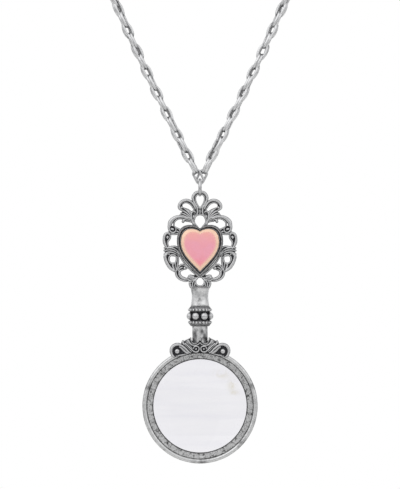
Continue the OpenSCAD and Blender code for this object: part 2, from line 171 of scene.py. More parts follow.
# %% [markdown]
# ## Surfaces from arrays
# Nearly every new piece is a skin over rings of points, worked out as whole arrays in millimetres. A ring is a section
# of the piece, and the rings follow each other along it. That one idea gives turned parts, beads, links and the stone.
# The two cast reliefs are height maps instead, made further down.
# A shell is four arrays: its points, its quads, its triangles, and for each point how deep it lies among those round
# it, from 0 on a rubbed top to 1 in a hollow. The patina reads that last one. On the chain that array is painted
# shade, on the stone it places a painted highlight and on the lens a painted reflection.


# %% Skin over rings, and several shells as one
def skin(rings, joined=False, recess=0.0):
    """Rings are an array of rings x sides x 3. Point (i, k) is joined to (i + 1, k) and (i, k + 1), and k runs round.
    If joined, the last ring meets the first; otherwise a fan from its middle closes each end.
    Each ring turns right-handed about the way on, so the faces point outwards."""
    rows, sides = rings.shape[:2]
    i, k = np.meshgrid(np.arange(rows if joined else rows - 1), np.arange(sides), indexing="ij")
    on, beside = (i + 1) % rows, (k + 1) % sides
    quads = np.stack([i * sides + k, i * sides + beside, on * sides + beside, on * sides + k], -1).reshape(-1, 4)
    points, tris = rings.reshape(-1, 3), np.empty((0, 3), int)
    depth = np.broadcast_to(recess, (rows, sides)).reshape(-1)
    if not joined:
        k, n, last = np.arange(sides), len(points), (rows - 1) * sides
        beside = (k + 1) % sides
        points = np.vstack([points, rings[0].mean(0), rings[-1].mean(0)])
        tris = np.vstack([np.stack([k * 0 + n, beside, k], -1), np.stack([k * 0 + n + 1, last + k, last + beside], -1)])
        depth = np.append(depth, [depth[:sides].mean(), depth[-sides:].mean()])
    return points, quads, tris, depth


def together(shells):
    """Several shells as one: their points in one array, and their faces counted on from there."""
    start = np.cumsum([0] + [len(s[0]) for s in shells[:-1]])
    return (np.concatenate([s[0] for s in shells]), np.concatenate([s[1] + a for s, a in zip(shells, start)]),
            np.concatenate([s[2] + a for s, a in zip(shells, start)]), np.concatenate([s[3] for s in shells]))


# %% A shell becomes a piece
def note(mesh, name, values):
    """Writes one number for each point to an attribute of the mesh."""
    mesh.attributes.new(name, "FLOAT", "POINT").data.foreach_set("value", np.asarray(values, np.float32).ravel())


def mesh_from(name, points, faces, depth):
    """A smooth-shaded mesh from points and faces, with the depths in an attribute named recess."""
    mesh = bpy.data.meshes.new(name)
    mesh.from_pydata(points.tolist(), [], faces)
    note(mesh, "recess", depth)
    mesh.shade_smooth()
    return mesh


def mesh_of(name, shell, scale=MM):
    """A mesh from a shell in millimetres."""
    points, quads, tris, depth = shell
    return mesh_from(name, points * scale, quads.tolist() + tris.tolist(), depth)


def piece(mesh, body, slot, finish, *stands_for):
    """Puts a mesh into the scene as a piece of its own name, on a body and with a finish, in place of CAD nodes."""
    made = bpy.data.objects.new(mesh.name, mesh)
    scene.collection.objects.link(made)
    mesh.materials.append(finish)
    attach(made, body)
    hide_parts(*stands_for)
    print(mesh.name, len(mesh.vertices), "points", len(mesh.polygons), "faces")


# %% [markdown]
# ## Finishes
# The pendant is cast in a white metal, plated, dipped in a black bath and rubbed bright again, so it is dark wherever a
# cloth doesn't reach. Two effects are shared and become node groups: the patina, which darkens what lies deep and adds
# faint clouds, and the hammer marks of the rim and the column. On the chain the same darkening is painted shade. The
# shaders themselves stay in each material.


# %% Node group: patina, and painted shade on the chain
def group(name, inputs, outputs):
    """An empty shader group with inputs {name: start value} and outputs {name: socket type}."""
    tree = bpy.data.node_groups.new(name, "ShaderNodeTree")
    for title, value in inputs.items():
        kind = "NodeSocketFloat" if isinstance(value, float) else "NodeSocketColor"
        tree.interface.new_socket(title, in_out="INPUT", socket_type=kind).default_value = value
    for title, kind in outputs.items():
        tree.interface.new_socket(title, in_out="OUTPUT", socket_type=kind)
    return tree, put(tree, "NodeGroupInput"), put(tree, "NodeGroupOutput")


patina_and_shade, given, result = group(
    "patina_and_shade",
    {"Rubbed": (0.6, 0.6, 0.6, 1), "Dark": (0.03, 0.03, 0.035, 1), "Recess": 0.0, "Reach": 1.0, "Clouds": 0.3,
     "Grain": 900.0},
    {"Colour": "NodeSocketColor", "Roughness": "NodeSocketFloat", "Height": "NodeSocketFloat"})
coords = put(patina_and_shade, "TexCoord").outputs["Object"]
clouds = noise(patina_and_shade, coords, given.outputs["Grain"], 3.0)
fine_grain = maths(patina_and_shade, "MULTIPLY", given.outputs["Grain"], 3.7)
scratches = noise(patina_and_shade, coords, fine_grain, 2.0).outputs[0]
centred = maths(patina_and_shade, "SUBTRACT", clouds.outputs[0], 0.5)
swayed = maths(patina_and_shade, "MULTIPLY", centred, given.outputs["Clouds"])
sunk = maths(patina_and_shade, "MULTIPLY_ADD", given.outputs["Recess"], given.outputs["Reach"], swayed)
share = fade(patina_and_shade, sunk, 0.0, 1.0)
tint = between(patina_and_shade, share, given.outputs["Rubbed"], given.outputs["Dark"])
matt = fade(patina_and_shade, share, 0.0, 1.0, 0.27, 0.55, "LINEAR")
rough = maths(patina_and_shade, "MULTIPLY_ADD", scratches, 0.16, matt)
for title, socket in {"Colour": tint, "Roughness": rough, "Height": scratches}.items():
    patina_and_shade.links.new(socket, result.inputs[title])
print("patina_and_shade", len(patina_and_shade.nodes), "nodes")

# %% Node group: hammer marks
hammer, given, result = group(
    "hammer_marks", {"Marks": 1000.0, "Specks": 0.5}, {"Height": "NodeSocketFloat", "Pits": "NodeSocketFloat"})
coords = put(hammer, "TexCoord").outputs["Object"]
bent = noise(hammer, coords, 700.0, 2.0)
moved = put(hammer, "VectorMath", {0: bent.outputs["Color"], 1: (0.0008, 0.0008, 0.0008), 2: coords},
            operation="MULTIPLY_ADD")
cells = put(hammer, "TexVoronoi", {0: moved.outputs[0], "Scale": given.outputs["Marks"], "Smoothness": 0.6},
            feature="SMOOTH_F1")
dimple = fade(hammer, cells.outputs["Distance"], 0.1, 0.75)
edge = fade(hammer, cells.outputs["Distance"], 0.42, 0.8, kind="LINEAR")
pits = maths(hammer, "MULTIPLY", edge, given.outputs["Specks"])
hammer.links.new(dimple, result.inputs["Height"])
hammer.links.new(pits, result.inputs["Pits"])
print("hammer marks", len(hammer.nodes), "nodes")


# %% The silver finishes
def silver(name, rubbed, dark, reach, clouds, grain, bump, marks=None, specks=0.0):
    """Metal with the patina over the piece's own recess attribute; on the chain that darkening is painted shade. Where
    marks gives a scale, hammer marks make its bump, and their pits are dark by the share in the piece's attribute named
    struck."""
    made, tree, shader = material(name, {"Metallic": 1.0})
    recess = put(tree, "Attribute", attribute_name="recess").outputs["Fac"]
    height = None
    if marks:
        beaten = put(tree, "Group", {"Marks": marks, "Specks": specks}, node_tree=hammer)
        struck = put(tree, "Attribute", attribute_name="struck").outputs["Fac"]
        recess = maths(tree, "MULTIPLY_ADD", beaten.outputs["Pits"], struck, recess)
        height = beaten.outputs["Height"]
    aged = put(tree, "Group", {"Recess": recess, "Rubbed": rubbed, "Dark": dark, "Reach": reach, "Clouds": clouds,
                               "Grain": grain}, node_tree=patina_and_shade)
    relief = put(tree, "Bump", {"Height": height or aged.outputs["Height"], "Strength": bump, "Distance": 0.0001})
    tree.links.new(aged.outputs["Colour"], shader.inputs["Base Color"])
    tree.links.new(aged.outputs["Roughness"], shader.inputs["Roughness"])
    tree.links.new(relief.outputs[0], shader.inputs["Normal"])
    print(name, "with", len(tree.nodes), "nodes")
    return made


antique_silver = silver("antique_silver", (0.7, 0.7, 0.705, 1), (0.055, 0.055, 0.06, 1), 1.35, 0.6, 1100.0, 0.15)
worn_silver = silver("worn_silver", (0.86, 0.86, 0.86, 1), (0.15, 0.15, 0.155, 1), 1.0, 1.7, 480.0, 0.4, 800.0, 0.25)
hammered_silver = silver("hammered_silver", (0.76, 0.76, 0.76, 1), (0.09, 0.09, 0.09, 1), 1.0, 1.2, 600.0, 0.3,
                         1650.0, 0.55)
chain_silver = silver("chain_silver", (0.85, 0.85, 0.855, 1), (0.13, 0.13, 0.135, 1), 1.0, 0.5, 800.0, 0.1)
ring_silver = silver("ring_silver", (0.64, 0.64, 0.645, 1), (0.13, 0.13, 0.135, 1), 1.0, 1.3, 700.0, 0.15)

# %% [markdown]
# ## Chain
# The real chain is made of oval wire links in pairs: one pair lies flat to the viewer and the next stands on edge, and
# each passes through its neighbours. In the CAD part each half is one smooth tube. Modelling 156 pairs by hand would be
# slow, so one link is worked out once and placed at every station of the same route. A link has only 72 faces.

# %% The chain's route
CHEST = np.array([0.0, -130.0, -205.0])
LEAN = math.radians(27)
RISE = np.array([math.sin(LEAN), 0.0, math.cos(LEAN)])
LINK_SIDE = 0.55
END_LINK = 4.9
STEPS = 24
ROUTE = np.array([[17, -130, -171], [33, -130, -136], [46, -130, -105], [59, -128, -73], [73, -117, -43],
                  [81, -93, -21], [79, -64, -10], [68, -36, -5], [46, -14, -2], [22, -3, 0]], float)
CLASP_SIDE, CLASP_EYE = np.array([8.6, 0.0, 0.0]), np.array([6.4, 0.0, 0.0])


def smooth_line(knots, steps):
    """A smooth curve through all knots but the first and the last. Between knots b and c, with a before and d after, at
    share t: b + t (c - a)/2 + t^2 (a - 5b/2 + 2c - d/2) + t^3 (3(b - c) + d - a)/2."""
    a, b, c, d = (knots[i:len(knots) - 3 + i, None] for i in range(4))
    t = (np.arange(steps) / steps)[None, :, None]
    curve = b + t * ((c - a) / 2 + t * (a - 2.5 * b + 2 * c - d / 2 + t * (1.5 * (b - c) + (d - a) / 2)))
    return np.vstack([curve.reshape(-1, knots.shape[1]), knots[-2:-1]])


def half_route(side):
    """The right half's route from the chest to the clasp, and how far along it each of its points lies. The left half's
    own route lies a link's width further forward at the chest, and is mirrored later."""
    root = CHEST + [0.0, side * LINK_SIDE, 0.0]
    knots = np.vstack([root + END_LINK * RISE, ROUTE, CLASP_SIDE])
    line = np.vstack([root[None], smooth_line(np.vstack([knots[:1], knots, knots[-1:]]), STEPS), CLASP_EYE[None]])
    return line, np.append(0, np.cumsum(np.linalg.norm(np.diff(line, axis=0), axis=1)))


print("half of the chain", round(half_route(1)[1][-1], 1), "mm")

# %% One link
LINK_L, LINK_W, LINK_WIRE = 7.3, 4.0, 1.24
# Painted shade: a link is darker on its inner side, at its ends and where it faces its twin.
INNER_SHADE, TWIN_SHADE, END_SHADE = 0.45, 0.6, 0.75


def oval_link(shift, corners=12, sides=6):
    """Round wire carried round an oval whose centre line is (a cos t, b sin t). Columns of the result: across the oval,
    out of its plane, along the oval. Also how dark each point is, which is painted shade: on the inner side, at the
    ends, and where it faces its twin, which lies on the side that shift gives."""
    a, b = (LINK_W - LINK_WIRE) / 2, (LINK_L - LINK_WIRE) / 2
    t = 2 * np.pi * (np.arange(corners) + 0.5) / corners
    line = np.stack([a * np.cos(t), 0 * t, b * np.sin(t)], -1)[:, None]
    out = np.stack([b * np.cos(t), 0 * t, a * np.sin(t)], -1)
    out = (out / np.linalg.norm(out, axis=1)[:, None])[:, None]
    spin = turns(sides)[None, :, None]
    points = line + LINK_WIRE / 2 * (np.cos(spin) * out - np.sin(spin) * np.array([0.0, 1.0, 0.0]))
    inner = INNER_SHADE * (0.5 - 0.5 * np.cos(spin[..., 0])) ** 2
    twin = TWIN_SHADE * np.clip(-shift * np.sin(spin[..., 0]), 0, 1) ** 2
    return points, np.clip(np.maximum(inner, twin) + END_SHADE * np.abs(np.sin(t))[:, None] ** 5, 0, 1)


print("link", LINK_L, "x", LINK_W, "mm,", len(skin(oval_link(1)[0], joined=True)[1]), "faces")

# %% The stations of all links
FIRST, PITCH = 6.2, 4.37
PAIR_GAP, SLIP, SLIP_SPREAD = 0.47, 0.15, 0.1
FLAT_TURN, EDGE_TURN = math.radians(27), math.radians(90)
ROLL_SPREAD, TILT_SPREAD = 9, 3.5
DRAWN_IN = 0.4
NEAR = 1.5


def link_chain(side, seed):
    """Places a pair of links at every station. A station has a way on, a front and a side; odd pairs lie almost flat to
    the front and even ones stand on edge. Each link is turned and shifted a little, as in a real chain. The links are a
    little wider than the CAD tube, so the route is drawn in a little at the sides and at the top."""
    route, run = half_route(side)
    count = int(round((run[-1] - LINK_L / 2 - FIRST) / PITCH / 2) * 2)
    station = np.linspace(FIRST, run[-1] - (LINK_L - LINK_WIRE) / 2, count)
    place = np.stack([np.interp(station, run, route[:, c]) for c in range(3)], -1)
    place[:, 0] *= 1 - DRAWN_IN / ROUTE[:, 0].max()
    place[:, 2] -= DRAWN_IN * np.clip(1 + place[:, 2] / 30, 0, 1)
    near = np.stack([np.interp(station[:, None] + [-NEAR, NEAR], run, route[:, c]) for c in range(3)], -1)
    way = near[:, 1] - near[:, 0]
    way /= np.linalg.norm(way, axis=1)[:, None]
    front = np.array([0.0, -1.0, 0.0]) + way[:, 1:2] * way
    front /= np.linalg.norm(front, axis=1)[:, None]
    beside = np.cross(way, front)
    rng = np.random.default_rng(seed)
    pair_roll = np.where(np.arange(count) % 2 == 0, EDGE_TURN, FLAT_TURN)
    pair_roll += np.radians(rng.normal(0, ROLL_SPREAD, count))
    shells = []
    for shift in (-1, 1):
        points, dark = oval_link(shift)
        roll = pair_roll + shift * np.radians(rng.uniform(0, ROLL_SPREAD, count))
        slip = shift * SLIP + rng.normal(0, SLIP_SPREAD, count)[:, None]
        tilt = np.radians(rng.normal(0, TILT_SPREAD, count))[:, None]
        across = np.cos(roll)[:, None] * beside + np.sin(roll)[:, None] * front
        away = np.cross(way, across)
        along = np.cos(tilt) * way + np.sin(tilt) * across
        across = np.cos(tilt) * across - np.sin(tilt) * way
        middle = place + shift * PAIR_GAP * away + slip * way
        p = points.reshape(1, -1, 3)
        links = (middle[:, None] + p[..., :1] * across[:, None] - p[..., 1:2] * away[:, None]
                 + p[..., 2:] * along[:, None])
        shells += [skin(one, joined=True, recess=dark) for one in links.reshape(-1, *points.shape) * [side, 1, 1]]
    if side < 0:
        shells = [(p, q[:, ::-1], t[:, ::-1], d) for p, q, t, d in shells]
    return together(shells), count


for side, half_name in ((-1, "left"), (1, "right")):
    shell, count = link_chain(side, 5 + side)
    piece(mesh_of("chain_links_" + half_name, shell), "chain", "chain_silver", chain_silver, "chain_" + half_name)
    print(half_name, "half:", count, "pairs of links")

# %% The ring, the end links and the clasp keep their CAD shape
for name in ("clasp", "end_link_left", "end_link_right", "jump_ring"):
    for held in nodes[name].material_slots:
        held.material = ring_silver
    print(name, "in ring silver")

# %% [markdown]
# ## Openwork frame
# The frame is one casting: an outline of scrolls and leaves round a heart-shaped setting. Its relief is only a
# millimetre high, so it can be drawn as strokes on paper. Each has a line, a height and a width that swells and tapers.
# The metal's height at any place is that of the tallest stroke there. Strokes of the kind WEB are low and flat, and
# stand for the dark ground between the ribs. The drawing uses squares of 0.381 mm, 74 across and 98 down, as in the CAD
# part, and shows the right half; the left half is its mirror image.

# %% The drawing
ROUND, LEAF, WEB = 0, 1, 2
FRAME_TOP, FRAME_W, FRAME_H = -208.886, 28.2, 37.4
ACROSS, DOWN = 74, 98
SQUARE = FRAME_W / ACROSS
PLANE = -130.0
# height in mm, kind, then the knots: across, down, width
TOP_LOOP = [
    (1.05, ROUND, [0, 1.6, 3, 4.2, 2.6, 3, 6.9, 6.3, 3, 6.7, 10, 2.8, 4.9, 14, 2.6, 2.6, 17.8, 2.2]),
    (0.72, ROUND, [0, 3.9, 1.5, 3, 4.6, 1.6, 4.7, 7.4, 1.7, 4.4, 10.6, 1.7, 3.1, 14, 1.7, 1, 17.4, 1.7])]
TOP_CURL = [
    (0.4, WEB, [4.6, 17.6, 3.4, 8.2, 13.2, 3.6, 11.6, 11.4, 3.4, 15.4, 11.2, 3.2, 18.6, 13.2, 3.2, 19.4, 17, 3.4]),
    (1, ROUND, [4.4, 18.4, 1.8, 7, 13.6, 2.3, 9.8, 10.9, 2.7, 13.8, 9.9, 2.9, 17.9, 11.2, 3.1, 20.5, 14.4, 3.1,
                  20.8, 17.6, 2.8, 19.4, 19.6, 1.8]),
    (0.78, ROUND, [6.2, 18.8, 1.6, 8.8, 14.9, 1.6, 11.8, 12.9, 1.5, 14.8, 12.4, 1.4, 17.3, 13.6, 1.4]),
    (1, ROUND, [18.2, 17.2, 2.8, 18.4, 17.4, 2.8])]
TOP_LEAVES = [
    (0.45, WEB, [8.5, 27, 5, 12, 22.8, 7, 15.4, 20.2, 5.4]), (0.45, WEB, [7, 28, 5, 12, 25.4, 5.4, 16.4, 23.4, 4.6]),
    (0.8, LEAF, [7.8, 28.2, 1.8, 8.6, 24.2, 2.4, 9.8, 21.4, 2.3, 12, 19.8, 1.7]),
    (0.84, LEAF, [8, 28.4, 1.8, 10.2, 23.8, 2.4, 12.9, 20.4, 2.3, 16, 18, 1.7]),
    (0.88, LEAF, [8.4, 28.5, 1.8, 11.7, 24.4, 2.4, 14.9, 21.7, 2.4, 18.2, 20.2, 1.7]),
    (0.92, LEAF, [9, 28.6, 1.7, 12.8, 25.6, 2.3, 16, 23.7, 2.3, 18.9, 22.9, 1.7]),
    (0.96, LEAF, [9.6, 28.4, 1.6, 13.4, 26.9, 2.2, 17, 25.4, 2.2, 19.9, 24.7, 1.7]),
    (0.85, LEAF, [8.6, 30.2, 1.8, 12, 28.9, 2.3, 15.2, 29, 3, 17, 31.4, 2.8]),
    (0.6, LEAF, [8, 31.8, 1.8, 11, 30.9, 2, 14, 30.7, 1.8])]
SHOULDER = [
    (1.05, ROUND, [12.5, 28, 1.4, 16.5, 27, 2.2, 21.2, 26.5, 3.2, 25.8, 28.1, 4, 29.2, 31.4, 4.7, 30.4, 35, 3.9,
                   31, 38.4, 2.6, 29.6, 41.3, 2.2, 26.6, 42.4, 2, 24.2, 40.6, 1.8, 24.4, 37.6, 1.6, 26, 36, 1.4]),
    (0.72, ROUND, [16.6, 28.8, 1.5, 20.4, 28.5, 1.6, 23.8, 29.8, 1.7, 26, 32.4, 1.8, 26.1, 35.2, 1.6]),
    (0.45, WEB, [27.4, 38.6, 6.2, 27.6, 39.4, 6.2]), (0.95, ROUND, [26.9, 39.1, 2.7, 28.6, 38.7, 2.7]),
    (0.8, ROUND, [17.6, 40.4, 2, 21.2, 38.9, 2, 24.4, 37.2, 1.5]),
    (0.78, ROUND, [20.5, 42.4, 1.8, 23.2, 41.2, 1.9, 25.6, 42.6, 1.6]),
    (0.75, ROUND, [21.5, 43.6, 2, 25.4, 44, 2, 29, 43.6, 2, 31.4, 41.6, 1.6]),
    (0.45, WEB, [20.4, 41, 4.4, 26, 41.4, 4.4])]
HOOKS = [
    (0.92, ROUND, [2.7, 18.8, 2.2, 2.4, 21.8, 2.2, 3.2, 24.4, 1.7]), (0.8, ROUND, [0, 20.6, 1.8, 0, 23.4, 1.6]),
    (0.92, ROUND, [4.6, 22, 1.4, 6.4, 20.9, 2, 8.3, 22.8, 2, 8.7, 26.2, 1.9, 7.9, 30, 1.9, 6.8, 34, 1.9]),
    (1, ROUND, [6.3, 26, 2.6, 6.4, 26.8, 2.6]),
    (0.72, ROUND, [0, 24.3, 1.6, 3, 25, 1.7, 5.5, 27.8, 1.8, 6, 31.1, 1.8, 4.8, 34.2, 1.8, 2.6, 36.6, 1.8]),
    (0.6, WEB, [1, 20.5, 6, 4.5, 22.5, 6, 6.5, 26, 4, 7.2, 30, 3.4, 6, 34, 3.4]),
    (0.6, WEB, [0, 18.6, 4.6, 5, 19.3, 3.4])]
SIDE_SCROLL = [
    (1.05, ROUND, [30.2, 43.4, 1.8, 32.6, 42.9, 2.5, 35, 44.6, 2.8, 36, 48.4, 2.8, 35.7, 52.4, 3, 34.2, 55.8, 2.6,
                   32.2, 58.2, 1.6]),
    (0.78, ROUND, [31.6, 43.6, 1.6, 29.8, 45.2, 1.8, 30.2, 48.4, 1.8, 32.2, 51.2, 1.8, 32.5, 54.2, 1.8, 31, 57.4, 1.8]),
    (0.98, ROUND, [32.5, 46.8, 3.2, 32.7, 47.3, 3.2]), (0.45, WEB, [32, 46, 5, 33.8, 50, 4.4, 34, 54, 3])]
SIDE_FAN = [
    (0.78, LEAF, [22, 57.6, 1.8, 25, 56.4, 2, 28.6, 56.6, 2, 31.2, 57.4, 1.6]),
    (0.92, LEAF, [22.8, 60.4, 1.7, 26.6, 58.2, 2.3, 31, 57.6, 2.4, 35.6, 57.7, 1.8]),
    (0.92, LEAF, [23.2, 62.2, 1.7, 27.2, 60.2, 2.3, 31.6, 59.8, 2.3, 35.8, 60.4, 1.8]),
    (0.92, LEAF, [23.8, 63.9, 1.7, 28, 62.2, 2.3, 32.4, 62.2, 2.6, 35.6, 64, 2]),
    (0.5, WEB, [24.5, 60.5, 5.8, 29, 60.5, 6.6, 33.4, 60.4, 5]),
    (0.45, WEB, [22, 59.5, 5.5, 24.5, 60, 6]), (0.45, WEB, [20.6, 62.4, 3.4, 20.6, 65.4, 3])]
LOWER_SCROLL = [
    (0.9, ROUND, [23.4, 70.6, 1.6, 23.6, 67.2, 1.8, 25.4, 65.2, 1.9, 28.2, 64.8, 1.9, 30.7, 66.6, 1.9, 31.3, 69.7, 1.8,
                  30, 72.4, 1.7]),
    (0.74, ROUND, [23.5, 69.4, 1.6, 24.6, 72.4, 1.7, 27.4, 73.6, 1.7, 30, 72.4, 1.6]),
    (1.05, ROUND, [32.6, 63.6, 1.8, 34.9, 65.8, 3.2, 34.2, 70, 3.4, 32.4, 74, 3.6, 29.6, 77.9, 3.4, 25.8, 80.8, 2.6]),
    (0.92, ROUND, [26.9, 73.2, 2, 27.2, 76, 2.4, 26, 79.6, 2]),
    (0.5, WEB, [32, 66, 4, 32, 71, 4, 29.5, 75.5, 5, 26.5, 78.5, 4]), (0.5, WEB, [25.2, 65, 3, 29, 64.6, 3]),
    (0.86, ROUND, [22, 61.4, 1.9, 21.8, 67.6, 1.9, 22, 72.6, 1.9, 23, 77.2, 1.9, 24.2, 80.6, 1.8]),
    (0.76, ROUND, [24.6, 72.8, 1.4, 24.7, 76, 1.5, 25, 79.2, 1.4]),
    (0.5, WEB, [23, 63, 3, 23, 70, 3, 24, 76, 4])]
BOTTOM_BAND = [
    (1.05, ROUND, [17, 79.6, 1.5, 19.6, 80.7, 2.1, 20.8, 83.4, 2.9, 19.2, 86.6, 3.2, 15.8, 88.5, 3.1, 11.4, 89.2, 2]),
    (0.95, ROUND, [23.3, 78.6, 1.7, 24.2, 82.4, 2.1, 23, 86.4, 2.3, 20, 89.2, 2.2, 15.6, 90.8, 2, 12.4, 91, 1.5]),
    (0.5, WEB, [22, 81, 4, 21.6, 86, 4, 17, 89, 3]), (1, ROUND, [15.2, 77.6, 2.9, 15.4, 77.9, 2.9]),
    (0.88, ROUND, [12.6, 77.2, 1.8, 15.4, 75.2, 1.9, 18.6, 74.6, 2, 21, 76.6, 2, 22.6, 79.8, 1.8]),
    (0.84, ROUND, [17.8, 77.2, 1.7, 19.8, 78.2, 1.8, 21.8, 81, 1.6]),
    (0.5, WEB, [14.8, 77.2, 5, 18.4, 77.6, 5, 21, 80, 4])]
ALONG_SETTING = [
    (0.85, ROUND, [20.9, 62.5, 1.6, 19.2, 67, 1.9, 16.2, 72, 2.1, 12.2, 76.8, 2.2, 7.6, 81.2, 2.2, 2.8, 84.9, 2.2,
                   0, 86.2, 2.2])]
FOOT_LEAVES = [
    (0.8, ROUND, [6.6, 86.6, 2.6, 9, 86.2, 3.4, 10.4, 86, 2.8]),
    (0.9, LEAF, [4.2, 87.4, 1.7, 7.6, 88.2, 2.2, 10, 88, 2.6, 11.4, 87.4, 2.4]),
    (0.92, ROUND, [4.4, 88.8, 1.6, 7.6, 90, 2, 10.2, 90.2, 2.3, 10.9, 90.6, 2.2]),
    (0.9, ROUND, [8.6, 91.8, 1.7, 10.2, 92.6, 2.2, 9.8, 95.2, 2.4, 8.2, 99, 2.2]),
    (0.97, ROUND, [4.8, 89.8, 1.6, 6.8, 91.8, 2, 7.5, 94.6, 2, 6.6, 99, 2]),
    (0.92, ROUND, [5.2, 92.6, 1.5, 5.4, 95, 1.8, 5, 99, 1.8]),
    (1, ROUND, [0, 86.7, 1.8, 2.9, 87.8, 1.9, 4.5, 90.4, 1.9, 4.3, 93.4, 1.9, 2.7, 95.5, 1.9, 0, 96.3, 1.8]),
    (0.9, ROUND, [2.2, 97.3, 2, 4, 98, 2]),
    (0.55, WEB, [4, 88, 4, 8.5, 89.4, 4.6, 8.4, 94, 4.4, 6.8, 98, 4]), (0.55, WEB, [0, 97.6, 4, 6, 98, 4]),
    (0.55, WEB, [3, 96.6, 3, 5.8, 95, 3]), (0.5, WEB, [0, 85.4, 3.4, 6, 86.8, 4, 10, 87.2, 4])]
FRAME_STROKES = (TOP_LOOP + TOP_CURL + TOP_LEAVES + SHOULDER + HOOKS + SIDE_SCROLL + SIDE_FAN + LOWER_SCROLL
                 + BOTTOM_BAND + ALONG_SETTING + FOOT_LEAVES)
print(len(FRAME_STROKES), "strokes in half of the drawing")


# %% The height of the metal
def carve(u, v, strokes):
    """Height of the metal and how far inside the outline, at places (u, v) of the drawing. For a stroke, q is the
    distance to its line over half its width. A round rib is top (1 - q^2.4)^(1/2.4) high, a leaf is a quarter lower at
    its sides, and a web is flat with a rounded edge. The tallest stroke wins."""
    high, inside = np.zeros(u.shape), np.full(u.shape, -9.0)
    for top, kind, numbers in strokes:
        knots = np.array(numbers, float).reshape(-1, 3)
        line = smooth_line(np.vstack([2 * knots[0] - knots[1], knots, 2 * knots[-1] - knots[-2]]), 10)
        r = line[:, 2] / 2
        low, far = (line[:, :2] - r[:, None]).min(0) - 1.5, (line[:, :2] + r[:, None]).max(0) + 1.5
        near = (u > low[0]) & (u < far[0]) & (v > low[1]) & (v < far[1])
        q2 = ((u[near][:, None] - line[:, 0]) ** 2 + (v[near][:, None] - line[:, 1]) ** 2) / r ** 2
        best = q2.argmin(1)
        q = np.sqrt(q2[np.arange(len(best)), best])
        inside[near] = np.maximum(inside[near], (1 - q) * r[best])
        q = np.minimum(q, 1)
        power, root = (8, 0.5) if kind == WEB else (2.4, 1 / 2.4)
        rise = top * (1 - q ** power) ** root * (1 - 0.25 * q * (kind == LEAF))
        high[near] = np.maximum(high[near], rise)
    return high, inside


# %% [markdown]
# ### From the drawing to a solid
# The drawing is laid on a grid of cells a tenth of a millimetre wide. Cells inside the outline get a front and a back
# face, and walls join the two along the outline. Points on the edge are then moved onto the true outline, so no steps
# show. The patina's recess is measured on the same grid: a place that lies lower than the average round it is a hollow.
# A voxel remesh of modelled ribs was the other way, but it needs far more faces to keep grooves this fine.


# %% Three helpers for the grid
def blur(grid, reach):
    """Each value becomes the average of those round it, weighted by exp(-(distance / reach)^2 / 2), along both ways."""
    way = np.arange(-3 * reach, 3 * reach + 1)
    weight = np.exp(-0.5 * (way / reach) ** 2)
    for axis in (0, 1):
        grid = sum(w * np.roll(grid, k, axis) for w, k in zip(weight / weight.sum(), way))
    return grid


def fill_corners(kept):
    """Where two cells touch at a corner alone, the other two cells there are filled, so that no edge has four faces."""
    for _ in range(3):
        a, b, c, d = kept[:-1, :-1], kept[:-1, 1:], kept[1:, :-1], kept[1:, 1:]
        touching = (a & d & ~b & ~c) | (b & c & ~a & ~d)
        for part in (a, b, c, d):
            part |= touching


def onto_outline(inside, u, v):
    """Moves places to the line where inside(u, v) is 0, in three steps of -inside * slope / slope^2."""
    small = 0.1
    for _ in range(3):
        here = inside(u, v)
        slope = np.stack([inside(u + small, v) - here, inside(u, v + small) - here], -1) / small
        step = np.clip(here / np.maximum((slope ** 2).sum(-1), 0.2), -0.3, 0.3)
        u, v = u - step * slope[:, 0], v - step * slope[:, 1]
    return u, v


# %% A solid from a drawing
OUTLINE_DARK, OUTLINE_REACH = 0.55, 0.55
WALL_ENDS_DARK, WALL_MIDDLE_DARK = 0.5, 0.2


